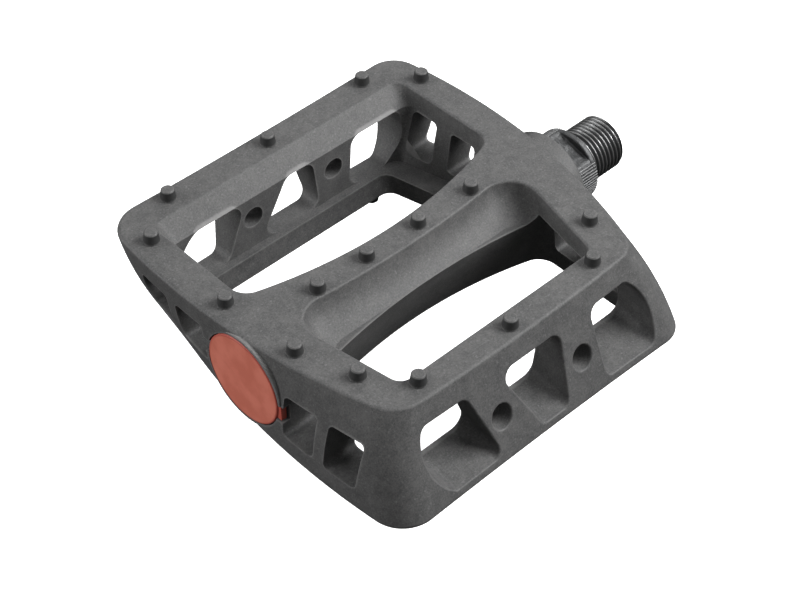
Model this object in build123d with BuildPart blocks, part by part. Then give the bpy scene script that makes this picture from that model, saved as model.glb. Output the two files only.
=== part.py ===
from build123d import *
import os
from math import asin, cos, pi, sin, sqrt

# Flat bicycle pedal: a one-piece moulded platform that turns on two rows of loose
# balls round a steel spindle. The origin is on the spindle's axis, at the shoulder
# that meets the crank. +X runs along the spindle into the crank, so the platform
# lies at -X. +Z is up, square to the top tread.
#
# The platform is the same after half a turn about the spindle. Each tread face has
# one long, wide rail and one short, narrow rail, and the long rail of one face lies
# over the short rail of the other. So whatever is cut from the top face and from
# the short rail's side is made once, and made again turned half a turn.

os.makedirs("parts", exist_ok=True)

# ---------------------------------------------------------------- platform, outside
body_thick = 25.6
outboard_x = -106.7
inboard_x = -10.3
long_rail_y = 50.5
short_rail_y = 39.5
long_rail_bow = 0.7
long_rail_flare = 0.4
short_rail_bow = 1.2
outboard_end_radius = 190.0
inboard_end_radius = 152.0
end_apex_y = 21.0
outboard_belly = 0.8
outboard_belly_radius = 277.0
inboard_belly = 0.6
inboard_belly_radius = 202.0
outboard_corner_radius = 9.0
inboard_corner_radius = 7.5
rim_round = 0.9
boss_step = 0.4
boss_reach = 2.5
boss_round = 0.8
cap_boss_step = 0.7
cap_boss_setback = 0.5
cap_boss_round = 0.25

# ---------------------------------------------------------------- platform, the two openings
short_rail_width = 6.5
long_rail_width = 9.1
outboard_wall = 9.4
inboard_wall = 9.3
mouth_out_inset = 2.3
mouth_in_inset = 3.0
mouth_out_taper = 5.2
mouth_in_taper = 7.8
mouth_draft = 1.6
scoop_bowl = 3.0
scoop_waist_bowl = 1.0
chamber_out_taper = 3.6
chamber_in_taper = 5.2
ledge_taper = 0.4
top_rail_depth = 5.6
ridge_depth = 7.8
scoop_waist_depth = 4.8
ledge_thick = 4.6
side_wall_in = 13.6
bar_edge_y = 3.6
bar_flare = 6.3
ridge_y = 9.3
ridge_flare = 4.6
scoop_y = 3.7
scoop_flare = -2.5
scoop_waist_y = 5.9
scoop_waist_flare = -1.9
ridge_rim_flare = 0.2
mouth_bar_round = 7.0
chamber_bar_round = 5.0
rail_side_round = 3.2
opening_rim_round = 0.6

# ---------------------------------------------------------------- platform, windows
lip_height = 2.4
window_reach = 3.0
pillar_top_width = 9.9
pillar_foot_width = 12.8
outboard_pillar_top = -16.1
outboard_pillar_foot = -8.6
inboard_pillar_top = 13.1
inboard_pillar_foot = 12.5
outboard_window_top = 14.7
outboard_window_mid = 12.9
outboard_window_foot = 18.7
inboard_window_top = 18.2
inboard_window_mid = 12.9
inboard_window_foot = 13.5
side_window_round = 1.6
inner_window_round = 3.4
window_rim_round = 0.5
pillar_hole_d = 5.7
pillar_hole_z = -2.0
outboard_hole = -12.9
inboard_hole = 12.8
end_window_top_z = 4.6
end_window_low_z = -7.3
outboard_window_width = 9.6
inboard_window_width = 8.0
end_window_inner_y = 18.0
end_window_outer_y = 30.8
end_window_round = 1.4

# ---------------------------------------------------------------- moulded tread pins
pin_foot_d = 4.0
pin_top_d = 3.3
pin_height = 2.8
pin_chamfer = 0.3
pin_root = 0.5
long_rail_pins = ((-30.2, 3.9), (-0.5, 4.75), (31.5, 3.85))
short_rail_pins = ((-28.5, 4.7), (-2.5, 3.3), (25.1, 4.0))
bar_pins_y = -0.3
bar_pins = (-25.3, -10.5, 5.6, 22.6)
outboard_pins = ((37.4, 5.4), (10.4, 5.0), (-11.1, 3.9), (-25.6, 5.8))
inboard_pins = ((37.5, 4.1), (-26.8, 5.8))

# ---------------------------------------------------------------- spindle
thread_d = 14.28
thread_length = 12.2
thread_chamfer = 0.5
hex_socket_across = 8.0
hex_socket_depth = 9.0
collar_d = 19.2
collar_gap = 0.6
wrench_across = 15.0
wrench_turn = 15.0
wrench_rim = 1.4
journal_step = 0.4
shaft_d = 9.2
tail_d = 7.9
tail_setback = 3.5
tail_chamfer = 0.6

# ---------------------------------------------------------------- bearings
ball_d = 3.175
ball_spacing = 0.05
ball_pitch_d = 12.8
ball_clearance = 0.04
inboard_balls_depth = 8.7
outboard_balls_depth = 14.7
cup_step = 5.2
cup_mouth_depth = 2.2
cup_floor_depth = 3.4
cup_mouth_step = 1.4
race_step = 0.4
race_reach = 0.6
race_length = 5.0
bore_step = 1.8
thread_clearance = 0.03
washer_d = 13.0
washer_thick = 1.2
nut_across = 12.0
nut_length = 4.0
seal_length = 2.6
seal_clearance = 0.06

# ---------------------------------------------------------------- end cap
cap_step = 2.4
cap_gap = 0.25
cap_thick = 1.8
cap_proud = 0.1
cap_edge_round = 0.35
cap_plug_step = 1.0
tab_reach = 0.9
cap_plug_wall = 1.5
cap_plug_length = 5.0
notch_low_z = -3.8
notch_high_z = 0.8
notch_depth = 2.6

# ---------------------------------------------------------------- worked out from those
over_cut = 1.0
base_on_plane = (Align.CENTER, Align.CENTER, Align.MIN)
half_thick = body_thick / 2
ball_count = int(pi / asin((ball_d + ball_spacing) / ball_pitch_d))
cup_d = ball_pitch_d + cup_step
cup_mouth_d = ball_pitch_d + cup_mouth_step
race_d = ball_pitch_d + race_step
journal_d = race_d + journal_step
cap_plug_d = cup_d + cap_plug_step
boss_d = body_thick - boss_step
cap_boss_d = body_thick - cap_boss_step
cap_d = body_thick - cap_step
ceiling_z = half_thick - top_rail_depth
ridge_z = half_thick - ridge_depth
scoop_waist_z = half_thick - scoop_waist_depth
ledge_z = ledge_thick - half_thick
lip_z = lip_height - half_thick
wall_inner_y = long_rail_y - side_wall_in
middle_x = (outboard_x + inboard_x) / 2
boss_end_x = inboard_x + boss_reach
collar_end_x = boss_end_x + collar_gap
inboard_balls_x = inboard_x - inboard_balls_depth
outboard_balls_x = outboard_x + outboard_balls_depth
tail_end_x = outboard_x + tail_setback
cap_boss_x = outboard_x + cap_boss_setback
half_turn = 180
opening_out_x = outboard_x + outboard_wall
opening_in_x = inboard_x - inboard_wall
opening_mid_x = (opening_out_x + opening_in_x) / 2
short_rail_inner_y = short_rail_y - short_rail_width
long_rail_inner_y = long_rail_y - long_rail_width
mouth_out_x = opening_out_x + mouth_out_inset
mouth_in_x = opening_in_x - mouth_in_inset
shaft_bore_d = ball_pitch_d - bore_step
ball_groove_d = ball_d + 2 * ball_clearance
cap_face_x = cap_boss_x - cap_proud
cap_seat_x = cap_face_x + cap_thick
end_windows_y = (end_window_inner_y, end_window_outer_y)
end_window_height = end_window_top_z - end_window_low_z
end_window_mid_z = (end_window_top_z + end_window_low_z) / 2


def end_x(apex_x, radius, side, y):
    """x of a bulged end at one y. side is 1 where the end bulges towards +X."""
    return apex_x - side * (radius - sqrt(radius**2 - (y - end_apex_y) ** 2))


def end_arc(apex_x, radius, side, y_from, y_to, turn):
    """The arc of one bulged end. turn is -1 for the lower face, half a turn on."""
    levels = (y_from, (y_from + y_to) / 2, y_to)
    return ThreePointArc(*[(end_x(apex_x, radius, side, y), turn * y) for y in levels])


def tread_outline(turn):
    """Outline of the top face (turn 1) or the bottom face (turn -1)."""
    long_end_y = long_rail_y + long_rail_flare
    with BuildLine() as outline:
        outboard = end_arc(outboard_x, outboard_end_radius, -1, -short_rail_y, long_rail_y, turn)
        inboard = end_arc(inboard_x, inboard_end_radius, 1, long_end_y, -short_rail_y, turn)
        long_mid = ((outboard @ 1) + (inboard @ 0)) / 2 - Vector(0, turn * long_rail_bow)
        short_mid = ((outboard @ 0) + (inboard @ 1)) / 2 - Vector(0, turn * short_rail_bow)
        ThreePointArc(outboard @ 1, long_mid, inboard @ 0)
        ThreePointArc(inboard @ 1, short_mid, outboard @ 0)
    return outline.line


def belly_outline():
    """Outline half way between the tread faces, where the two ends bulge out a little."""
    side_y = (long_rail_y + short_rail_y) / 2
    side_end_y = side_y + long_rail_flare / 2
    side_bow = (short_rail_bow - long_rail_bow) / 2
    outboard_mid_x = end_x(outboard_x, outboard_end_radius, -1, 0) - outboard_belly
    inboard_mid_x = end_x(inboard_x, inboard_end_radius, 1, 0) + inboard_belly
    outboard_drop = outboard_belly_radius - sqrt(outboard_belly_radius**2 - side_y**2)
    inboard_drop = inboard_belly_radius - sqrt(inboard_belly_radius**2 - side_end_y**2)
    outboard_side_x = outboard_mid_x + outboard_drop
    inboard_side_x = inboard_mid_x - inboard_drop
    with BuildLine() as outline:
        ThreePointArc((outboard_side_x, -side_y), (outboard_mid_x, 0), (outboard_side_x, side_y))
        ThreePointArc((inboard_side_x, side_end_y), (inboard_mid_x, 0), (inboard_side_x, -side_end_y))
        for side in (1, -1):
            bow_y = (side_y + side_end_y) / 2 + side_bow
            ThreePointArc((outboard_side_x, side * side_y), (middle_x, side * bow_y),
                          (inboard_side_x, side * side_end_y))
    return outline.line


def rail_edge(x, rail_y, flare, bow):
    """How far a rail's outer edge stands from the spindle at one x."""
    reach = (outboard_x - inboard_x) / 2
    share = (x - middle_x) / reach
    return rail_y + flare * (1 - share) / 2 + bow * (1 - share**2)


def opening_section(z, bar_y, flare, rail_y, out_x, out_taper, in_x, in_taper, bar_round):
    """One level of the opening at the short rail of the top face.

    The bar's side is an arc at bar_y in the middle and bar_y + flare at its ends,
    and the tapers narrow the opening towards the rail.
    """
    bar_out = (out_x, -bar_y - flare)
    bar_in = (in_x, -bar_y - flare)
    rail_in = (in_x - in_taper, -rail_y)
    rail_out = (out_x + out_taper, -rail_y)
    with BuildSketch(Plane.XY.offset(z)) as section:
        with BuildLine():
            ThreePointArc(bar_out, (opening_mid_x, -bar_y), bar_in)
            Polyline(bar_in, rail_in, rail_out, bar_out)
        make_face()
        fillet(section.vertices().sort_by(Axis.Y)[:2], rail_side_round)
        fillet(section.vertices().sort_by(Axis.Y)[-2:], bar_round)
    return section.sketch


def side_window_section(y, lip_drop, left, right, corner_round):
    """A side window's outline at one distance from the spindle, as an XZ sketch.

    left and right are lines from the window's top to its foot.
    """
    with BuildSketch(Plane.XZ.offset(y)) as section:
        with BuildLine():
            left_edge = left(ceiling_z, lip_z - lip_drop)
            right_edge = right(ceiling_z, lip_z - lip_drop)
            Line(left_edge @ 0, right_edge @ 0)
            Line(left_edge @ 1, right_edge @ 1)
        make_face()
        fillet(section.vertices(), corner_round)
    return section.sketch


def ring(outer_d, inner_d, x_from, x_to):
    """A plain ring round the spindle's axis between two x."""
    with BuildPart(Plane.YZ.offset(x_from)) as plain:
        Cylinder(outer_d / 2, x_to - x_from, align=base_on_plane)
        Cylinder(inner_d / 2, x_to - x_from, align=base_on_plane, mode=Mode.SUBTRACT)
    return plain.part


def rod(outer_d, x_from, x_to):
    """A plain rod on the spindle's axis between two x."""
    with BuildPart(Plane.YZ.offset(x_from)) as plain:
        Cylinder(outer_d / 2, x_to - x_from, align=base_on_plane)
    return plain.part


def ball_groove(x):
    """The round groove that the balls run in, as a ring to cut away."""
    with BuildPart(Plane.YZ.offset(x)) as groove:
        Torus(ball_pitch_d / 2, ball_groove_d / 2)
    return groove.part


# ---------------------------------------------------------------- the platform's outside
with BuildPart() as blank:
    for level, outline in ((half_thick, tread_outline(1)), (0, belly_outline()),
                           (-half_thick, tread_outline(-1))):
        with BuildSketch(Plane.XY.offset(level)) as tread:
            add(outline)
            make_face()
            fillet(tread.vertices().sort_by(Axis.X)[:2], outboard_corner_radius)
            fillet(tread.vertices().sort_by(Axis.X)[-2:], inboard_corner_radius)
    loft()
    fillet(blank.faces().filter_by(Axis.Z).edges(), rim_round)

# ---------------------------------------------------------------- the opening, as two cutters
# The mouth reaches from the tread face down to the sharp ridge along the bar, and
# scoops the bar's side hollow. Its ends are bowled at the bar and upright at the rail.
with BuildPart() as mouth:
    add(opening_section(half_thick, scoop_y, scoop_flare, short_rail_inner_y,
                        mouth_out_x, mouth_out_taper, mouth_in_x, mouth_in_taper, mouth_bar_round))
    add(opening_section(scoop_waist_z, scoop_waist_y, scoop_waist_flare, short_rail_inner_y + mouth_draft,
                        mouth_out_x + scoop_waist_bowl, mouth_out_taper - scoop_waist_bowl,
                        mouth_in_x - scoop_waist_bowl, mouth_in_taper - scoop_waist_bowl, mouth_bar_round))
    add(opening_section(ridge_z, ridge_y, ridge_rim_flare, short_rail_inner_y + mouth_draft,
                        mouth_out_x + scoop_bowl, mouth_out_taper - scoop_bowl,
                        mouth_in_x - scoop_bowl, mouth_in_taper - scoop_bowl, mouth_bar_round))
    loft()

# The chamber is wider: it runs under the top rails, past the pillars, down to the
# ledge, and out through the long rail's slanted inner edge on the bottom face.
ridge_slope = (ridge_y - bar_edge_y) / (ridge_z + half_thick)
flare_slope = (ridge_flare - bar_flare) / (ridge_z + half_thick)


def bar_side(z):
    """How far the bar's plain side stands from the middle at one level, and its flare."""
    rise = z + half_thick
    return bar_edge_y + ridge_slope * rise, bar_flare + flare_slope * rise


with BuildPart() as chamber:
    add(opening_section(ceiling_z, *bar_side(ceiling_z), wall_inner_y, opening_out_x,
                        chamber_out_taper, opening_in_x, chamber_in_taper, chamber_bar_round))
    add(opening_section(ledge_z, *bar_side(ledge_z), wall_inner_y, opening_out_x,
                        ledge_taper, opening_in_x, ledge_taper, chamber_bar_round))
    add(opening_section(-half_thick, *bar_side(-half_thick), long_rail_inner_y, opening_out_x,
                        0, opening_in_x, 0, chamber_bar_round))
    loft(ruled=True)

# ---------------------------------------------------------------- the windows, as cutters
lip_y = long_rail_y - long_rail_bow
lip_fall = (ledge_z - lip_z) / (lip_y - wall_inner_y) * window_reach
half_top = pillar_top_width / 2
half_foot = pillar_foot_width / 2


def pillar_side(top, foot, side):
    """The window side along one pillar. side is 1 on the pillar's crank side."""
    top_x = middle_x + top + side * half_top
    foot_x = middle_x + foot + side * half_foot
    return lambda top_z, foot_z: Line((top_x, top_z), (foot_x, foot_z))


def corner_side(from_x, side, top, mid, foot):
    """The bowed window side at a corner of the platform, measured in from one end."""
    def bowed(top_z, foot_z):
        stops = ((top, top_z), (mid, (top_z + foot_z) / 2), (foot, foot_z))
        return ThreePointArc(*[(from_x + side * inset, z) for inset, z in stops])
    return bowed


side_windows = [
    (corner_side(outboard_x, 1, outboard_window_top, outboard_window_mid, outboard_window_foot),
     pillar_side(outboard_pillar_top, outboard_pillar_foot, -1)),
    (pillar_side(outboard_pillar_top, outboard_pillar_foot, 1),
     pillar_side(inboard_pillar_top, inboard_pillar_foot, -1)),
    (pillar_side(inboard_pillar_top, inboard_pillar_foot, 1),
     corner_side(inboard_x, -1, inboard_window_top, inboard_window_mid, inboard_window_foot)),
]
with BuildPart() as windows:
    for left, right in side_windows:
        add(side_window_section(lip_y + window_reach, lip_fall, left, right, side_window_round))
        add(side_window_section(wall_inner_y - window_reach, lip_z - ledge_z - lip_fall, left, right,
                                inner_window_round))
        loft(ruled=True)
    with BuildSketch(Plane.XZ.offset(wall_inner_y - window_reach)):
        with Locations(*[(middle_x + hole, pillar_hole_z) for hole in (outboard_hole, inboard_hole)]):
            Circle(pillar_hole_d / 2)
    extrude(amount=lip_y - wall_inner_y + 2 * window_reach)
    for wall_from, wall_to, width in (
        (outboard_x - over_cut, opening_out_x + over_cut, outboard_window_width),
        (opening_in_x - window_reach, inboard_x + over_cut, inboard_window_width),
    ):
        with BuildSketch(Plane.YZ.offset(wall_from)):
            with Locations(*[(-y, end_window_mid_z) for y in end_windows_y]):
                RectangleRounded(width, end_window_height, end_window_round)
        extrude(amount=wall_to - wall_from)
    with BuildSketch(Plane.YZ.offset(outboard_x - over_cut)):
        with BuildLine():
            Polyline((-cap_plug_d / 2, notch_low_z), (-end_window_inner_y, notch_low_z),
                     (-end_window_inner_y, notch_high_z), (-cap_plug_d / 2, notch_high_z), close=True)
        make_face()
    extrude(amount=notch_depth + over_cut)

# ---------------------------------------------------------------- one moulded pin
with BuildPart() as pin:
    with BuildSketch(Plane.XZ):
        with BuildLine():
            Polyline((0, -pin_root), (pin_foot_d / 2, -pin_root), (pin_foot_d / 2, 0),
                     (pin_top_d / 2, pin_height - pin_chamfer), (pin_top_d / 2 - pin_chamfer, pin_height),
                     (0, pin_height), close=True)
        make_face()
    revolve(axis=Axis.Z)

# Each face has three pins on either rail, four along the bar, four along the
# outboard end and two on the inboard end. Rail pins are given as how far along from
# the middle and how far in from the rail's edge.
pin_spots = [(middle_x + n, rail_edge(middle_x + n, long_rail_y, long_rail_flare, -long_rail_bow) - inset)
             for n, inset in long_rail_pins]
pin_spots += [(middle_x + n, inset - rail_edge(middle_x + n, short_rail_y, 0, short_rail_bow))
              for n, inset in short_rail_pins]
pin_spots += [(middle_x + n, bar_pins_y) for n in bar_pins]
pin_spots += [(end_x(outboard_x, outboard_end_radius, -1, y) + inset, y) for y, inset in outboard_pins]
pin_spots += [(end_x(inboard_x, inboard_end_radius, 1, y) - inset, y) for y, inset in inboard_pins]
with BuildPart() as pins:
    with Locations(*[(x, y, half_thick) for x, y in pin_spots]):
        add(pin.part)

# ---------------------------------------------------------------- the platform
def pierced_sides(faces):
    """The outer face of each side wall, with the windows and pillar holes through it."""
    walls = [face for face in faces if len(face.inner_wires()) > 2 and abs(face.center().Y) > wall_inner_y]
    return sorted(walls, key=lambda face: abs(face.center().Y))[-2:]


hub_open_x = outboard_balls_x - cup_mouth_depth
with BuildPart() as cap_boss:
    add(rod(cap_boss_d, cap_boss_x, opening_out_x))
    fillet(cap_boss.faces().sort_by(Axis.X)[0].edges(), cap_boss_round)

with BuildPart() as platform:
    add(blank.part)
    add(rod(boss_d, opening_in_x, boss_end_x))
    fillet(platform.faces().sort_by(Axis.X)[-1].edges(), boss_round)
    add(cap_boss.part)
    for cutter in (mouth.part, chamber.part, windows.part):
        add(cutter, mode=Mode.SUBTRACT)
        add(cutter.rotate(Axis.X, half_turn), mode=Mode.SUBTRACT)
    add(rod(cap_d + 2 * cap_gap, outboard_x - over_cut, cap_seat_x), mode=Mode.SUBTRACT)
    add(rod(cap_plug_d + 2 * cap_gap, cap_seat_x - over_cut, hub_open_x), mode=Mode.SUBTRACT)
    add(rod(cup_d, hub_open_x - over_cut, outboard_balls_x + cup_floor_depth), mode=Mode.SUBTRACT)
    add(rod(shaft_bore_d, outboard_balls_x, inboard_balls_x), mode=Mode.SUBTRACT)
    add(rod(cup_d, inboard_balls_x - cup_floor_depth, boss_end_x + over_cut), mode=Mode.SUBTRACT)
    for face in (platform.faces().sort_by(Axis.Z)[0], platform.faces().sort_by(Axis.Z)[-1]):
        fillet(face.inner_wires().edges(), opening_rim_round)
    for side in pierced_sides(platform.faces()):
        fillet(side.inner_wires().edges(), window_rim_round)
    add(pins.part)
    add(pins.part.rotate(Axis.X, half_turn))
platform.part.label = "platform"
export_step(platform.part, "parts/platform.step")

# ---------------------------------------------------------------- the spindle
race_low_x = inboard_balls_x - race_reach
race_high_x = inboard_balls_x + race_length
tail_high_x = outboard_balls_x + race_reach
with BuildPart() as spindle:
    with BuildSketch(Plane.XY):
        with BuildLine():
            Polyline(
                (tail_end_x, 0),
                (tail_end_x, tail_d / 2 - tail_chamfer),
                (tail_end_x + tail_chamfer, tail_d / 2),
                (tail_high_x, tail_d / 2),
                (tail_high_x, shaft_d / 2),
                (race_low_x, shaft_d / 2),
                (race_low_x, race_d / 2),
                (race_high_x, race_d / 2),
                (race_high_x, journal_d / 2),
                (collar_end_x, journal_d / 2),
                (collar_end_x, collar_d / 2),
                (0, collar_d / 2),
                (0, thread_d / 2),
                (thread_length - thread_chamfer, thread_d / 2),
                (thread_length, thread_d / 2 - thread_chamfer),
                (thread_length, 0),
                close=True,
            )
        make_face()
    revolve(axis=Axis.X)
    with BuildSketch(Plane.YZ.offset(collar_end_x)):
        Circle(collar_d)
        Rectangle(3 * collar_d, wrench_across, rotation=wrench_turn, mode=Mode.SUBTRACT)
    extrude(amount=-collar_end_x - wrench_rim, mode=Mode.SUBTRACT)
    add(ball_groove(inboard_balls_x), mode=Mode.SUBTRACT)
    with BuildSketch(Plane.YZ.offset(thread_length)):
        RegularPolygon(hex_socket_across / 2, 6, major_radius=False)
    extrude(amount=-hex_socket_depth, mode=Mode.SUBTRACT)
spindle.part.label = "spindle"
export_step(spindle.part, "parts/spindle.step")


# ---------------------------------------------------------------- bearing cups
def bearing_cup(balls_x, side):
    """A cup pressed into the platform. side is 1 where its mouth faces the crank."""
    mouth_x = balls_x + side * cup_mouth_depth
    floor_x = balls_x - side * cup_floor_depth
    with BuildPart() as cup:
        add(ring(cup_d, shaft_bore_d, min(mouth_x, floor_x), max(mouth_x, floor_x)))
        add(rod(cup_mouth_d, min(mouth_x, balls_x), max(mouth_x, balls_x)), mode=Mode.SUBTRACT)
        add(ball_groove(balls_x), mode=Mode.SUBTRACT)
    return cup.part


def ball_row(balls_x):
    """One full row of loose balls."""
    with BuildPart() as row:
        for n in range(ball_count):
            turn = 2 * pi * n / ball_count
            with Locations((balls_x, ball_pitch_d / 2 * cos(turn), ball_pitch_d / 2 * sin(turn))):
                Sphere(ball_d / 2)
    return row.part


for end, balls_x, side in (("inboard", inboard_balls_x, 1), ("outboard", outboard_balls_x, -1)):
    cup = bearing_cup(balls_x, side)
    cup.label = f"{end}_cup"
    export_step(cup, f"parts/{end}_cup.step")
    row = ball_row(balls_x)
    row.label = f"{end}_balls"
    export_step(row, f"parts/{end}_balls.step")

# ---------------------------------------------------------------- dust seal
with BuildPart() as dust_seal:
    add(ring(cup_d, journal_d + 2 * seal_clearance, boss_end_x - seal_length, boss_end_x))
dust_seal.part.label = "dust_seal"
export_step(dust_seal.part, "parts/dust_seal.step")

# ---------------------------------------------------------------- outboard cone, washer, nut
cone_end_x = outboard_balls_x - race_length
with BuildPart() as cone:
    add(ring(race_d, tail_d + 2 * thread_clearance, cone_end_x, outboard_balls_x + race_reach))
    add(ball_groove(outboard_balls_x), mode=Mode.SUBTRACT)
cone.part.label = "outboard_cone"
export_step(cone.part, "parts/outboard_cone.step")

washer_end_x = cone_end_x - washer_thick
with BuildPart() as washer:
    add(ring(washer_d, tail_d + 2 * thread_clearance, washer_end_x, cone_end_x))
washer.part.label = "lock_washer"
export_step(washer.part, "parts/lock_washer.step")

with BuildPart() as nut:
    with BuildSketch(Plane.YZ.offset(washer_end_x - nut_length)):
        RegularPolygon(nut_across / 2, 6, major_radius=False)
        Circle(tail_d / 2 + thread_clearance, mode=Mode.SUBTRACT)
    extrude(amount=nut_length)
nut.part.label = "lock_nut"
export_step(nut.part, "parts/lock_nut.step")

# ---------------------------------------------------------------- end cap
with BuildPart() as end_cap:
    add(rod(cap_d, cap_face_x, cap_seat_x))
    fillet(end_cap.faces().sort_by(Axis.X)[0].edges(), cap_edge_round)
    add(ring(cap_plug_d, cap_plug_d - 2 * cap_plug_wall, cap_seat_x, cap_seat_x + cap_plug_length))
    with BuildSketch(Plane.YZ.offset(cap_face_x + cap_edge_round)):
        with Locations((0, (notch_low_z + notch_high_z) / 2)):
            Rectangle(cap_d / 2 + tab_reach, notch_high_z - notch_low_z - 2 * cap_gap,
                      align=(Align.MAX, Align.CENTER))
    extrude(amount=cap_thick - cap_edge_round)
end_cap.part.label = "end_cap"
export_step(end_cap.part, "parts/end_cap.step")
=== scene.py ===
# %% [markdown]
# # A flat bicycle pedal
# The pedal is a one-piece platform of glass-filled nylon that turns on loose balls
# round a steel spindle. The CAD frame already holds the platform's shape and every
# inner piece, so this lesson gives each piece the finish of the real one and models
# what CAD left plain: the crank thread, the spindle's ribbed collar and its flats.

# %% Load the frame
import math

import bmesh
import bpy
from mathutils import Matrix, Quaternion, Vector


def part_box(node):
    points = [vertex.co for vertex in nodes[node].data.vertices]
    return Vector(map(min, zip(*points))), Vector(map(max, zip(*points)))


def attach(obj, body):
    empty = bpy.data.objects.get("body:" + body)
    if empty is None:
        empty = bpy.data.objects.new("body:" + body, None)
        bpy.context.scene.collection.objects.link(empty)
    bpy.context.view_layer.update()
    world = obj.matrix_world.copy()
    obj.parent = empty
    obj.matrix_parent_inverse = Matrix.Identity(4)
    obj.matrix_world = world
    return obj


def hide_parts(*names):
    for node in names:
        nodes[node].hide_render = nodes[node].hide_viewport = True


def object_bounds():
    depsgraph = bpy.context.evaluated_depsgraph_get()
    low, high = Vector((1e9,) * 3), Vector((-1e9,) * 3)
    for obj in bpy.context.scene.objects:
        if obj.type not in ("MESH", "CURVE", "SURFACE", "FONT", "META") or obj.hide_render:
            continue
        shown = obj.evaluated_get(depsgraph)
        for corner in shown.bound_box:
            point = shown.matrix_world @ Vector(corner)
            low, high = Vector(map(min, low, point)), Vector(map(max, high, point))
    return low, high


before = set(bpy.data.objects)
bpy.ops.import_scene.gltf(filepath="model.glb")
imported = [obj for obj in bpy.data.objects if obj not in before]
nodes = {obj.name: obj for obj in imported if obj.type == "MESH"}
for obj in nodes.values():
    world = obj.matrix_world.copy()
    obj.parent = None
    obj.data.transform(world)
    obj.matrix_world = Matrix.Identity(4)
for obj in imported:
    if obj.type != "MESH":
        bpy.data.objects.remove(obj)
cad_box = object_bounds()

MM = 0.001


def in_mm(box):
    """A box's two corners as plain lists of millimetres, for printing."""
    return [[round(side / MM, 1) for side in corner] for corner in box]


print("CAD box in mm:", in_mm(cad_box))

# %% [markdown]
# ## Sums on sockets
# Blender builds materials and Geometry Nodes from small nodes. Written out one by
# one they are hard to read, so two classes let a sum on node outputs be written as a
# sum. Wire holds one output, and each operator on it adds a Math node. Graph makes
# any other node from its type, its settings, and the values or wires it takes in.

# %% Wire and Graph
class Wire:
    """One node's output, with the sums this lesson uses."""

    def __init__(self, graph, socket):
        self.graph = graph
        self.socket = socket

    def output(self, name):
        """Another output of the same node."""
        return Wire(self.graph, self.socket.node.outputs[name])

    def __add__(self, other):
        return self.graph.math("ADD", self, other)

    def __sub__(self, other):
        return self.graph.math("SUBTRACT", self, other)

    def __rsub__(self, other):
        return self.graph.math("SUBTRACT", other, self)

    def __mul__(self, other):
        return self.graph.math("MULTIPLY", self, other)

    def __truediv__(self, other):
        return self.graph.math("DIVIDE", self, other)

    __radd__ = __add__
    __rmul__ = __mul__


class Graph:
    """A node tree under construction."""

    def __init__(self, tree):
        self.tree = tree

    def node(self, kind, settings=None, values=None, output=0):
        """Adds a node, with its settings first, and returns one of its outputs."""
        made = self.tree.nodes.new(kind)
        for name, setting in (settings or {}).items():
            setattr(made, name, setting)
        for name, value in (values or {}).items():
            self.feed(made, name, value)
        return Wire(self, made.outputs[output]) if made.outputs else made

    def feed(self, node, name, value):
        """Links a wire to a node's input, or sets the input to a plain value."""
        if isinstance(value, Wire):
            self.tree.links.new(value.socket, node.inputs[name])
        else:
            node.inputs[name].default_value = value

    def math(self, operation, first, second=0.0):
        return self.node("ShaderNodeMath", {"operation": operation},
                         {0: first, 1: second})

    def between(self, value, low, high):
        """0 below low, 1 above high, and a smooth rise between them."""
        return self.node("ShaderNodeMapRange", {"interpolation_type": "SMOOTHSTEP"},
                         {"Value": value, "From Min": low, "From Max": high})


print("helpers ready: Wire and Graph")

# %% [markdown]
# ## Helpers for finishes
# Every finish starts from the same four parts: where the point is on the piece, noise
# at a chosen grain size, a mix of two colours, and a bump. The grain size is given in
# millimetres, because that is how a maker thinks about a mould's texture. Places are
# measured from the spindle's axis, so one rule finds the thread's crests, the cap's
# rim or the sides of the pins, with nothing painted by hand.

# %% Finish
TREAD_Z = 12.8
PIN_TOP_Z = 15.6
# The pin sides get painted shade from the foot up to just below the lit top.
PIN_FOOT = (TREAD_Z + 0.1, TREAD_Z + 0.7)
PIN_LIT_TOP = (PIN_TOP_Z - 0.35, PIN_TOP_Z - 0.1)


class Finish(Graph):
    """A material with one Principled shader."""

    def __init__(self, name, **constants):
        self.material = bpy.data.materials.new(name)
        self.material.use_nodes = True
        super().__init__(self.material.node_tree)
        self.shader = self.tree.nodes["Principled BSDF"]
        self.place = self.node("ShaderNodeTexCoord", output="Object")
        self.set(**constants)

    def set(self, **inputs):
        """Feeds the shader's inputs, which are named with _ for a space."""
        for socket, value in inputs.items():
            self.feed(self.shader, socket.replace("_", " "), value)
        return self.material

    def noise(self, grain_mm, detail=2.0, roughness=0.5, place=None):
        return self.node("ShaderNodeTexNoise", {},
                         {"Vector": place or self.place, "Scale": 1 / (grain_mm * MM),
                          "Detail": detail, "Roughness": roughness})

    def mix(self, amount, first, second):
        """A colour between two colours."""
        return self.node("ShaderNodeMix", {"data_type": "RGBA"},
                         {"Factor": amount, 6: first, 7: second}, output=2)

    def bump(self, height, depth_mm, strength):
        return self.node("ShaderNodeBump", {},
                         {"Height": height, "Distance": depth_mm * MM,
                          "Strength": strength})

    def place_parts(self):
        return self.node("ShaderNodeSeparateXYZ", {}, {"Vector": self.place})

    def axis_distance(self):
        """How far a point is from the spindle's axis, in mm."""
        parts = self.place_parts()
        y = parts.output("Y") / MM
        z = parts.output("Z") / MM
        return self.math("SQRT", y * y + z * z)

    def shaded_pin_sides(self):
        """1 on the sides of the tread pins, from the tread up to their lit tops, where the
        nylon is painted darker as shade.
        """
        height = self.math("ABSOLUTE", self.place_parts().output("Z") / MM)
        return self.between(height, *PIN_FOOT) * (
            1 - self.between(height, *PIN_LIT_TOP))

    def outer_edges(self, reach_mm):
        """1 along outward edges and 0 on open faces and inward corners."""
        open_share = self.node("ShaderNodeAmbientOcclusion",
                               {"inside": True, "samples": 8},
                               {"Distance": reach_mm * MM}, output="AO")
        return 1 - open_share


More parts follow.
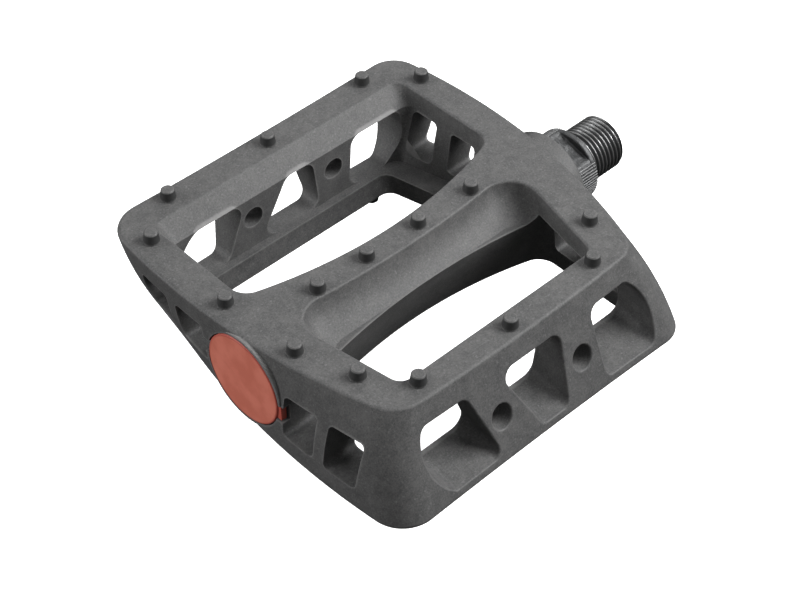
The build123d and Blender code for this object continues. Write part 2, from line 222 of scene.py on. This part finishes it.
def grey(level, warmth=0.0):
    """A near-grey colour. A positive warmth leans to yellow, a negative one to blue."""
    return (level * (1 + warmth), level, level * (1 - warmth), 1)


print("pins stand", round(PIN_TOP_Z - TREAD_Z, 1), "mm above the tread")

# %% [markdown]
# ## Moulded nylon
# The platform is moulded in dark grey nylon with short glass fibre. Its mould was
# spark eroded, so the skin has a fine matt grain. Handling has polished the outward
# edges a little, and they are painted lighter, partly as that wear and partly as a
# painted highlight where light catches their rounding. The flow of the plastic leaves
# soft, cloudy patches.
# Noises of different grain make the skin, and an occlusion test cast into the solid
# finds the outward edges. A painted mask could do that too, but not for every edge of
# a shape this involved.

# %% Nylon
CLOUD_MM, PATCH_MM, GRAIN_MM, FIBRE_MM = 9.0, 2.6, 0.42, 0.55
CLOUD_SHARE, PATCH_SHARE, GRAIN_SHARE = 0.18, 0.28, 0.54
NYLON_DARK, NYLON_LIGHT = grey(0.066, -0.01), grey(0.128, 0.01)
FIBRE_GREY, FIBRE_SHOWS = grey(0.22), 0.34
# The lighter edge grey is partly wear and partly a painted highlight.
WORN_AND_HIGHLIGHT_GREY, WEAR_AND_HIGHLIGHT_SHOWS = grey(0.26, 0.01), 0.80
# Painted shade on the pin sides, near black. The tops keep the plain nylon.
PIN_SIDE_SHADE_GREY, PIN_SIDE_SHADE_SHOWS = grey(0.022, -0.02), 0.85
TONE_RANGE, FIBRE_RANGE, RUB_AND_HIGHLIGHT_RANGE = (0.34, 0.66), (0.62, 0.74), (0.10, 0.62)
EDGE_REACH_MM = 0.8
NYLON_ROUGH, SKIN_DEPTH_MM = 0.50, 0.10


def nylon_finish():
    skin = Finish("moulded nylon", Specular_IOR_Level=0.42, IOR=1.5)
    clouds = skin.noise(CLOUD_MM, detail=3.0, roughness=0.6)
    patches = skin.noise(PATCH_MM, detail=4.0, roughness=0.62)
    grain = skin.noise(GRAIN_MM, detail=3.0, roughness=0.7)
    fibres = skin.between(skin.noise(FIBRE_MM, detail=1.0), *FIBRE_RANGE)
    # Outward edges are painted lighter: partly handling wear, partly a painted highlight.
    rub_and_highlight = skin.between(skin.outer_edges(EDGE_REACH_MM), *RUB_AND_HIGHLIGHT_RANGE)
    worn_and_highlight = rub_and_highlight * (patches * 0.9 + 0.25)
    tone = clouds * CLOUD_SHARE + patches * PATCH_SHARE + grain * GRAIN_SHARE
    colour = skin.mix(skin.between(tone, *TONE_RANGE), NYLON_DARK, NYLON_LIGHT)
    colour = skin.mix(fibres * FIBRE_SHOWS, colour, FIBRE_GREY)
    colour = skin.mix(worn_and_highlight * WEAR_AND_HIGHLIGHT_SHOWS, colour, WORN_AND_HIGHLIGHT_GREY)
    # The sides of the pins are painted near black as shade.
    colour = skin.mix(skin.shaded_pin_sides() * PIN_SIDE_SHADE_SHOWS, colour, PIN_SIDE_SHADE_GREY)
    height = grain * 0.7 + patches * 0.3
    rough = NYLON_ROUGH + patches * 0.16 - rub_and_highlight * 0.10
    return skin.set(Base_Color=colour, Roughness=rough,
                    Normal=skin.bump(height, SKIN_DEPTH_MM, 0.35))


nylon = nylon_finish()
print("nylon nodes:", len(nylon.node_tree.nodes))

# %% [markdown]
# ## Steels
# The spindle is black oxide over machined steel: dark and slightly oily, worn bright
# on the thread's crests. The inner steels are ground, plated or polished. One recipe
# serves them all, with its colours and the size of its machining marks as values. The
# marks run round the axis, so their noise is read only at the distance from the axis
# and the place along it, which stretches it along the circumference.

# %% Steel recipe
MARKS_DEPTH_MM = 0.01
STAIN_MM = 3.0


def steel_finish(name, dark, light, roughness, marks_mm, metal=1.0):
    """A steel with its colour, roughness and normal, before they are fed in."""
    steel = Finish(name, Metallic=metal)
    lathe = steel.node("ShaderNodeCombineXYZ", {},
                       {"X": steel.place_parts(), "Y": steel.axis_distance() * MM,
                        "Z": 0.0})
    marks = steel.noise(marks_mm, detail=3.0, place=lathe)
    stain = steel.noise(STAIN_MM, detail=3.0)
    colour = steel.mix(marks * 0.5 + stain * 0.5, dark, light)
    rough = roughness + stain * 0.18 - 0.09
    return steel, colour, rough, steel.bump(marks, MARKS_DEPTH_MM, 0.3)


def plain_steel(name, dark, light, roughness, marks_mm):
    steel, colour, rough, normal = steel_finish(name, dark, light, roughness, marks_mm)
    return steel.set(Base_Color=colour, Roughness=rough, Normal=normal)


bearing_steel = plain_steel("bearing steel", grey(0.34), grey(0.48), 0.26, 0.12)
ball_steel = plain_steel("ball steel", grey(0.66), grey(0.78), 0.10, 0.40)
zinc_steel = plain_steel("zinc steel", grey(0.42, 0.04), grey(0.58, 0.02), 0.38, 0.25)
print("inner steels:", bearing_steel.name, ball_steel.name, zinc_steel.name, sep=", ")

# %% [markdown]
# The spindle's own steel is darker, and its crests are found by their distance from
# the axis: the oxide has rubbed off where the thread stands highest. The collar was
# forged and not machined all over, so it is rougher and keeps small lumps.

# %% Spindle steel
CREST_R = 7.14
ROOT_R = 6.42
OXIDE_DARK, OXIDE_LIGHT = grey(0.075, -0.03), grey(0.135, -0.01)
BARE_STEEL = grey(0.42)
OXIDE_ROUGH, OXIDE_MARKS_MM, OXIDE_METAL = 0.40, 0.18, 0.75
THREAD_WEAR, COLLAR_WEAR = (CREST_R - 0.30, CREST_R), (9.30, 9.62)
FORGED_GRAIN_MM, FORGED_ROUGHER = 1.5, 0.16


def spindle_finish(name, wear_range, wear, forged_mm):
    """Black oxide, worn between two distances from the axis, with forged lumps."""
    steel, colour, rough, normal = steel_finish(name, OXIDE_DARK, OXIDE_LIGHT,
                                                OXIDE_ROUGH, OXIDE_MARKS_MM,
                                                metal=OXIDE_METAL)
    crest = steel.between(steel.axis_distance(), *wear_range)
    colour = steel.mix(crest * wear, colour, BARE_STEEL)
    if forged_mm:
        normal = steel.bump(steel.noise(FORGED_GRAIN_MM, detail=3.0), forged_mm, 0.8)
        rough = rough + FORGED_ROUGHER
    return steel.set(Base_Color=colour, Roughness=rough - crest * 0.08, Normal=normal)


thread_steel = spindle_finish("thread steel", THREAD_WEAR, 0.55, forged_mm=0)
collar_steel = spindle_finish("collar steel", COLLAR_WEAR, 0.20, forged_mm=0.5)
print("spindle steels:", thread_steel.name, "and", collar_steel.name)

# %% [markdown]
# ## Rubber and the red cap
# The dust seal is matt black rubber. The cap is a satin red plastic, faded a little
# towards pink in soft clouds. Its rim is painted a deeper red as shade, which leaves
# the middle lighter. A colour ramp across the cap could do that too, but a mix at a
# known distance from the axis keeps the rim's width in millimetres.

# %% Rubber and cap
CAP_R = 11.6
CAP_SHADED_RIM = (CAP_R - 0.8, CAP_R - 0.1)
CAP_RED, CAP_FADED = (0.68, 0.190, 0.130, 1), (0.78, 0.240, 0.170, 1)
# Painted shade at the cap's rim.
CAP_RIM_SHADE_RED = (0.42, 0.060, 0.045, 1)
CAP_CLOUD_MM, CAP_GRAIN_MM, BLOOM_MM = 5.0, 0.25, 0.8


def rubber_finish():
    rubber = Finish("seal rubber", Specular_IOR_Level=0.3)
    bloom = rubber.noise(BLOOM_MM, detail=3.0)
    return rubber.set(Base_Color=rubber.mix(bloom, grey(0.012), grey(0.030)),
                      Roughness=0.62 + bloom * 0.2,
                      Normal=rubber.bump(bloom, 0.03, 0.3))


def cap_finish():
    red = Finish("cap red", Specular_IOR_Level=0.45)
    clouds = red.noise(CAP_CLOUD_MM, detail=3.0)
    grain = red.noise(CAP_GRAIN_MM)
    rim_shade = red.between(red.axis_distance(), *CAP_SHADED_RIM)
    colour = red.mix(red.between(clouds, 0.35, 0.65), CAP_RED, CAP_FADED)
    # The rim is painted a deeper red as shade.
    colour = red.mix(rim_shade * 0.75, colour, CAP_RIM_SHADE_RED)
    return red.set(Base_Color=colour, Roughness=0.42 + clouds * 0.14,
                   Normal=red.bump(grain * 0.6 + clouds * 0.4, 0.05, 0.25))


seal_rubber = rubber_finish()
cap_red = cap_finish()
print("soft and red finishes:", seal_rubber.name, "and", cap_red.name)

# %% [markdown]
# ## Giving the CAD pieces their finishes
# A CAD node whose shape is right keeps its mesh, and only takes a material. These
# are the platform, the cap and everything sealed in the hub.

# %% Dress the CAD nodes
DRESS = {
    "platform": nylon,
    "inboard_cup": bearing_steel,
    "outboard_cup": bearing_steel,
    "outboard_cone": bearing_steel,
    "inboard_balls": ball_steel,
    "outboard_balls": ball_steel,
    "lock_washer": zinc_steel,
    "lock_nut": zinc_steel,
    "dust_seal": seal_rubber,
    "end_cap": cap_red,
}
for name, material in DRESS.items():
    slots = nodes[name].data.materials
    slots.clear()
    slots.append(material)
print("dressed:", len(DRESS), "CAD nodes")

# %% [markdown]
# ## The spindle's body
# A spindle is turned, so its body is a stack of rings, each with its place along the
# axis and a rule for its radius. A plain ring is round. Behind the shoulder two flats
# take a spanner, so there the radius is cut short towards the flats. The socket in
# the end has six sides. Building it by rule gives clean, closed rings, where cutting
# flats with a boolean would leave slivers.

# %% Spindle sizes
AROUND = 192
TAIL_R, TAIL_EASE = 3.95, 0.6
SHAFT_START, SHAFT_R = -91.4, 4.6
RACE_START, RACE_FLOOR_R = -19.6, 4.75
LAND_START, RACE_LAND_R = -17.4, 6.6
JOURNAL_START, JOURNAL_R = -14.0, 6.8
COLLAR_END = -7.2
RIM_START = -1.4
BAND_R = 9.34
RIM_R = 9.30
EASE = 0.25
FLAT_R = 7.50
FLAT_TURN = math.radians(105)
CORE_R = 6.0
THREAD_LENGTH = 12.2
CORE_END = THREAD_LENGTH - 0.05
HEX_R = 4.0
HEX_EASE = 0.35
SOCKET_DEPTH = 9.0
DENT_DEPTH, DENT_FADE = 0.45, 0.8
DENT_STEP, DENT_COUNT = 0.4, 13
DENT_RINGS = [COLLAR_END + EASE + step * DENT_STEP for step in range(1, DENT_COUNT + 1)]


def round_ring(radius):
    return lambda angle: radius


def flat_ring(radius):
    """A round ring with the two spanner flats."""
    nearly_none = 0.01
    return lambda angle: min(
        radius, FLAT_R / max(abs(math.cos(angle - FLAT_TURN)), nearly_none))


def forged_ring(x):
    """A ring of the collar whose flats keep the dents of the forging.

    The dents are two waves that cross, with five and three crests to a turn.
    """
    smooth = flat_ring(BAND_R)

    def radius_at(angle):
        cut = min((BAND_R - smooth(angle)) / DENT_FADE, 1.0)
        dent = 1 + math.sin(5 * angle + 1.7 * x) * math.sin(2.6 * x - 3 * angle)
        return smooth(angle) - DENT_DEPTH / 2 * cut * dent
    return radius_at


def six_sided_ring(inner_radius):
    sector = math.pi / 3
    return lambda angle: inner_radius / math.cos(angle % sector - sector / 2)


tail_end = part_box("spindle")[0].x / MM
print("the spindle is", round(THREAD_LENGTH - tail_end, 1), "mm long")

# %% [markdown]
# The rings run from the tail to the crank end and then back into the socket. Each
# step in diameter is two rings at the same place, and a small ease on each corner
# catches the light as a machined corner does.

# %% Stack the rings
RINGS = [
    (tail_end, round_ring(TAIL_R - TAIL_EASE)),
    (tail_end + TAIL_EASE, round_ring(TAIL_R)),
    (SHAFT_START, round_ring(TAIL_R)), (SHAFT_START, round_ring(SHAFT_R)),
    (RACE_START, round_ring(SHAFT_R)), (RACE_START, round_ring(RACE_FLOOR_R)),
    (LAND_START, round_ring(RACE_FLOOR_R)), (LAND_START, round_ring(RACE_LAND_R)),
    (JOURNAL_START, round_ring(RACE_LAND_R)), (JOURNAL_START, round_ring(JOURNAL_R)),
    (COLLAR_END, round_ring(JOURNAL_R)), (COLLAR_END, flat_ring(BAND_R - EASE)),
    (COLLAR_END + EASE, flat_ring(BAND_R)),
    *[(x, forged_ring(x)) for x in DENT_RINGS],
    (RIM_START, flat_ring(BAND_R)), (RIM_START, round_ring(RIM_R - EASE)),
    (RIM_START + EASE, round_ring(RIM_R)),
    (-EASE, round_ring(RIM_R)), (0.0, round_ring(RIM_R - EASE)),
    (0.0, round_ring(CORE_R)), (CORE_END, round_ring(CORE_R)),
    (CORE_END, six_sided_ring(HEX_R + HEX_EASE)),
    (CORE_END - HEX_EASE, six_sided_ring(HEX_R)),
    (THREAD_LENGTH - SOCKET_DEPTH, six_sided_ring(HEX_R)),
]


def add_object(name, data):
    """An object in the scene, at the origin."""
    made = bpy.data.objects.new(name, data)
    bpy.context.scene.collection.objects.link(made)
    return made


MERGE_MM = 0.001


def tidy_mesh(mesh, smooth_below):
    """Merges doubles, turns faces outwards and keeps sharper edges crisp."""
    work = bmesh.new()
    work.from_mesh(mesh)
    bmesh.ops.remove_doubles(work, verts=work.verts, dist=MERGE_MM * MM)
    bmesh.ops.recalc_face_normals(work, faces=work.faces)
    gaps = sum(1 for edge in work.edges if not edge.is_manifold)
    work.to_mesh(mesh)
    work.free()
    mesh.polygons.foreach_set("use_smooth", [True] * len(mesh.polygons))
    mesh.set_sharp_from_angle(angle=math.radians(smooth_below))
    print(mesh.name, "faces:", len(mesh.polygons), "open edges:", gaps)


def mesh_object(name, points, faces, material, smooth_below=35):
    """A mesh object from points in mm, with its faces turned outwards."""
    mesh = bpy.data.meshes.new(name)
    mesh.from_pydata([Vector(point) * MM for point in points], [], faces)
    made = add_object(name, mesh)
    mesh.materials.append(material)
    tidy_mesh(mesh, smooth_below)
    return made


def ring_stack(name, rings, material):
    """A closed turned solid from rings of (x, radius rule)."""
    points = [(rings[0][0], 0, 0)]
    for x, radius_at in rings:
        for step in range(AROUND):
            angle = 2 * math.pi * step / AROUND
            radius = radius_at(angle)
            points.append((x, radius * math.cos(angle), radius * math.sin(angle)))
    points.append((rings[-1][0], 0, 0))
    faces = []
    for step in range(AROUND):
        after = (step + 1) % AROUND
        faces.append((0, 1 + after, 1 + step))
        for level in range(len(rings) - 1):
            low = 1 + level * AROUND
            high = low + AROUND
            faces.append((low + step, low + after, high + after, high + step))
        last = 1 + (len(rings) - 1) * AROUND
        faces.append((last + step, last + after, len(points) - 1))
    return mesh_object(name, points, faces, material)


spindle_body = ring_stack("spindle_body", RINGS, collar_steel)
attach(spindle_body, "spindle")
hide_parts("spindle")

# %% [markdown]
# ## Geometry Nodes, in one helper
# The thread and the collar's ribs repeat one shape by rule, which is what Geometry
# Nodes are for. Each tree has named inputs for its sizes. The helper sets them by
# their identifiers, takes the evaluated result as a plain mesh, and leaves no
# modifier behind, so that the piece can ride on its body.

# %% Tree and grow
class Tree(Graph):
    """A Geometry Nodes tree with named number inputs."""

    def __init__(self, name, sizes):
        super().__init__(bpy.data.node_groups.new(name, "GeometryNodeTree"))
        self.sizes = sizes
        for size in sizes:
            self.add_socket(size, "INPUT", "NodeSocketFloat")
        self.add_socket("Geometry", "OUTPUT", "NodeSocketGeometry")
        self.entry = self.tree.nodes.new("NodeGroupInput")

    def add_socket(self, name, direction, kind):
        self.tree.interface.new_socket(name, in_out=direction, socket_type=kind)

    def size(self, name):
        return Wire(self, self.entry.outputs[name])

    def round_axis(self, x, radius, angle):
        """The point at a radius and an angle round the spindle's axis."""
        return self.node("ShaderNodeCombineXYZ", {},
                         {"X": x, "Y": radius * self.math("COSINE", angle),
                          "Z": radius * self.math("SINE", angle)})

    def end(self, geometry, material):
        real = self.node("GeometryNodeRealizeInstances", {}, {"Geometry": geometry})
        dressed = self.node("GeometryNodeSetMaterial", {},
                            {"Geometry": real, "Material": material})
        self.node("NodeGroupOutput", {}, {"Geometry": dressed})


def grow(name, tree, smooth_below):
    """Runs a tree and returns its result as a plain mesh object."""
    seed = add_object(name + "_seed", bpy.data.meshes.new(name + "_seed"))
    modifier = seed.modifiers.new("grow", "NODES")
    modifier.node_group = tree.tree
    for item in tree.tree.interface.items_tree:
        if item.in_out == "INPUT":
            modifier[item.identifier] = float(tree.sizes[item.name])
    bpy.context.view_layer.update()
    evaluated = seed.evaluated_get(bpy.context.evaluated_depsgraph_get())
    mesh = bpy.data.meshes.new_from_object(evaluated)
    mesh.name = name
    bpy.data.objects.remove(seed)
    made = add_object(name, mesh)
    tidy_mesh(mesh, smooth_below)
    return made


print("helpers ready: Tree and grow")

# %% [markdown]
# ## The crank thread
# A 9/16 inch pedal thread has 20 turns to the inch, so one turn every 1.27 mm. A
# Screw modifier could sweep a tooth along a helix, but its ends would stay open. Here
# a flat grid is wrapped round the axis, and the radius of each point follows a zigzag
# of its place along the thread less its share of a turn, which makes one continuous
# helix. The first row of the grid and the last two fold back inside, so the sleeve is
# a closed solid.

# %% Thread
THREAD_PITCH = 25.4 / 20
THREAD_CHAMFER = 0.7
CORE_OVERLAP = 0.1
TOOTH_SLOPE = 1.36
ROOT_WIDTH = 0.16
WHOLE_TURNS = 64  # added before the fraction is taken, so that it is never negative


def thread_tree(rows, columns):
    tree = Tree("crank thread", {
        "Crest radius": CREST_R * MM, "Root radius": ROOT_R * MM,
        "Pitch": THREAD_PITCH * MM, "Length": THREAD_LENGTH * MM,
        "Inner radius": (CORE_R - CORE_OVERLAP) * MM, "Chamfer": THREAD_CHAMFER * MM})
    sheet = tree.node("GeometryNodeMeshGrid", {},
                      {"Size X": 1.0, "Size Y": 1.0,
                       "Vertices X": rows + 1, "Vertices Y": columns + 1})
    spot = tree.node("ShaderNodeSeparateXYZ", {},
                     {"Vector": tree.node("GeometryNodeInputPosition")})
    across = spot.output("Y") + 0.5
    row = (spot + 0.5) * rows
    outside = (tree.math("GREATER_THAN", row, 0.5)
               * tree.math("LESS_THAN", row, rows - 1.5))
    share = tree.node("ShaderNodeClamp", {}, {"Value": (row - 1) / (rows - 3)})
    along = share * tree.math("LESS_THAN", row, rows - 0.5) * tree.size("Length")
    turns = along / tree.size("Pitch") - across
    zigzag = tree.math("ABSOLUTE", tree.math("FRACT", turns + WHOLE_TURNS) * 2 - 1)
    tooth = tree.node("ShaderNodeClamp", {},
                      {"Value": zigzag * TOOTH_SLOPE - ROOT_WIDTH})
    depth = tree.size("Crest radius") - tree.size("Root radius")
    radius = tree.size("Root radius") + tooth * depth
    lead = (tree.size("Crest radius") - tree.size("Chamfer")
            + (tree.size("Length") - along))
    radius = tree.math("MINIMUM", radius, lead)
    radius = radius * outside + tree.size("Inner radius") * (1 - outside)
    place = tree.round_axis(along, radius, across * (2 * math.pi))
    wrapped = tree.node("GeometryNodeSetPosition", {},
                        {"Geometry": sheet, "Position": place})
    tree.end(wrapped, thread_steel)
    return tree


crank_thread = grow("crank_thread", thread_tree(rows=140, columns=96), smooth_below=50)
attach(crank_thread, "spindle")

# %% [markdown]
# ## Ribs on the collar
# Between its flats the collar has fine ribs along the axis, for a finger grip. They
# could be part of the body's rings, but each rib would need several points of every
# ring. Here one small six-sided bar is placed at every point of a circle. The points
# over the flats are left out, by testing how far each one is from the middle, across
# the flats.

# %% Ribs
RIB_COUNT = 78
RIB_R = 0.24
RIB_RISE = 0.02
RIB_END_GAP = 0.7
FLAT_MARGIN = 0.35


def rib_tree():
    tree = Tree("collar ribs", {
        "Ring radius": (BAND_R + RIB_RISE) * MM, "Rib radius": RIB_R * MM,
        "Rib length": (-COLLAR_END - RIB_END_GAP) * MM,
        "Middle": COLLAR_END / 2 * MM, "Flat reach": (FLAT_R - FLAT_MARGIN) * MM})
    ring = tree.node("GeometryNodeMeshCircle", {},
                     {"Vertices": RIB_COUNT, "Radius": 1.0})
    turn = tree.node("GeometryNodeInputIndex") * (2 * math.pi / RIB_COUNT)
    place = tree.round_axis(tree.size("Middle"), tree.size("Ring radius"), turn)
    spread = tree.node("GeometryNodeSetPosition", {},
                       {"Geometry": ring, "Position": place})
    across_flats = tree.math("COSINE", turn - FLAT_TURN) * tree.size("Ring radius")
    over_flat = tree.math("GREATER_THAN", tree.math("ABSOLUTE", across_flats),
                          tree.size("Flat reach"))
    kept = tree.node("GeometryNodeDeleteGeometry", {"domain": "POINT"},
                     {"Geometry": spread, "Selection": over_flat})
    bar = tree.node("GeometryNodeMeshCylinder", {},
                    {"Vertices": 6, "Radius": tree.size("Rib radius"),
                     "Depth": tree.size("Rib length")})
    laid = tree.node("GeometryNodeTransform", {},
                     {"Geometry": bar, "Rotation": (0, math.pi / 2, 0)})
    ribs = tree.node("GeometryNodeInstanceOnPoints", {},
                     {"Points": kept, "Instance": laid})
    tree.end(ribs, collar_steel)
    return tree


collar_ribs = grow("collar_ribs", rib_tree(), smooth_below=70)
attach(collar_ribs, "spindle")

# %% [markdown]
# ## Floor
# The pedal hangs by its spindle above a plain white floor, low enough for the
# platform to turn right round. The floor shines by itself, so it stays white under
# the pedal, and it is hidden from bounced and mirrored light, so it doesn't grey the
# openings. A lit backdrop could do the same, but would throw its light on the pedal.

# %% Floor
low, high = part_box("platform")
swing = math.hypot(max(-low.y, high.y), max(-low.z, high.z))
FLOOR_GAP = 1
FLOOR_GLOW = 0.95
floor_z = (-swing - FLOOR_GAP * MM) / MM
print("the platform swings within", round(swing / MM, 1), "mm of the spindle's axis")


def floor_finish():
    sheet = Finish("pale floor", Specular_IOR_Level=0.2, Emission_Strength=FLOOR_GLOW)
    fibre = sheet.noise(2.0)
    return sheet.set(Base_Color=sheet.mix(fibre, grey(0.90), grey(0.93)),
                     Roughness=0.8 + fibre * 0.1, Emission_Color=(1, 1, 1, 1))


FLOOR_HALF = 3000
FLOOR_CORNERS = [(-FLOOR_HALF, -FLOOR_HALF), (FLOOR_HALF, -FLOOR_HALF),
                 (FLOOR_HALF, FLOOR_HALF), (-FLOOR_HALF, FLOOR_HALF)]
floor = mesh_object("floor", [(x, y, floor_z) for x, y in FLOOR_CORNERS],
                    [(0, 1, 2, 3)], floor_finish())
floor.visible_diffuse = False
floor.visible_glossy = False

# %% [markdown]
# ## Lights
# The main light stands right of the camera and the next one left of it. Weak ones
# above and behind lift the tread and the thread. The room itself is nearly dark below
# and a little lighter above, so the insides of the openings stay deep.

# %% Lights
LIGHT_DISTANCE = 0.9
LIGHTS = [  # name, direction from the pedal, side in m, power in W
    ("overhead", (0.0, 0.1, 1.0), 0.8, 1.2),
    ("right front", (0.65, -0.6, 0.78), 0.6, 11.2),
    ("left", (-0.8, 0.65, 0.35), 0.5, 4.8),
    ("behind", (0.9, 0.8, 0.7), 0.5, 1.2),
]
ROOM_BELOW = 0.03
ROOM_RISE = 0.18
HORIZON = (-0.2, 0.2)

world = bpy.data.worlds.new("pale room")
bpy.context.scene.world = world
world.use_nodes = True
room = Graph(world.node_tree)
backdrop = world.node_tree.nodes["Background"]
view = room.node("ShaderNodeTexCoord", output="Generated")
upward = room.node("ShaderNodeSeparateXYZ", {}, {"Vector": view}).output("Z")
room.feed(backdrop, "Strength",
          room.between(upward, *HORIZON) * ROOM_RISE + ROOM_BELOW)
room.feed(backdrop, "Color", (1, 1, 1, 1))
bpy.context.scene.view_settings.view_transform = "Standard"
middle = (cad_box[0] + cad_box[1]) / 2


def soft_light(name, direction, side, watts):
    """A square soft light that faces the middle of the pedal."""
    data = bpy.data.lights.new(name, "AREA")
    data.size = side
    data.energy = watts
    light = add_object(name, data)
    light.location = middle + Vector(direction).normalized() * LIGHT_DISTANCE
    light.rotation_euler = (middle - light.location).to_track_quat("-Z", "Y").to_euler()


for light_values in LIGHTS:
    soft_light(*light_values)
print("lights:", len(LIGHTS))

# %% [markdown]
# ## Camera
# A long lens looks down on the pedal from beyond its outer end, so the tread, the
# long side wall and the red cap all show. It is aimed at a point between the two
# ends of the platform and tipped by a fraction of a degree.

# %% Camera
CAMERA_AT = Vector((-277.65, -228.59, 308.25)) * MM
CAMERA_AIM = Vector((-62.97, -4.86, 0.0)) * MM
CAMERA_ROLL = math.radians(0.2)
SENSOR_WIDTH_MM, FOCAL_LENGTH_MM = 36.0, 85.47
NEAREST = 0.01
lens = bpy.data.cameras.new("camera")
lens.sensor_width = SENSOR_WIDTH_MM
lens.lens = FOCAL_LENGTH_MM
lens.clip_start = NEAREST
camera = add_object("camera", lens)
camera.location = CAMERA_AT
aim = (CAMERA_AIM - CAMERA_AT).to_track_quat("-Z", "Y")
camera.rotation_mode = "QUATERNION"
camera.rotation_quaternion = aim @ Quaternion((0, 0, 1), CAMERA_ROLL)
bpy.context.scene.camera = camera
print("camera distance in mm:", round((CAMERA_AIM - CAMERA_AT).length / MM))
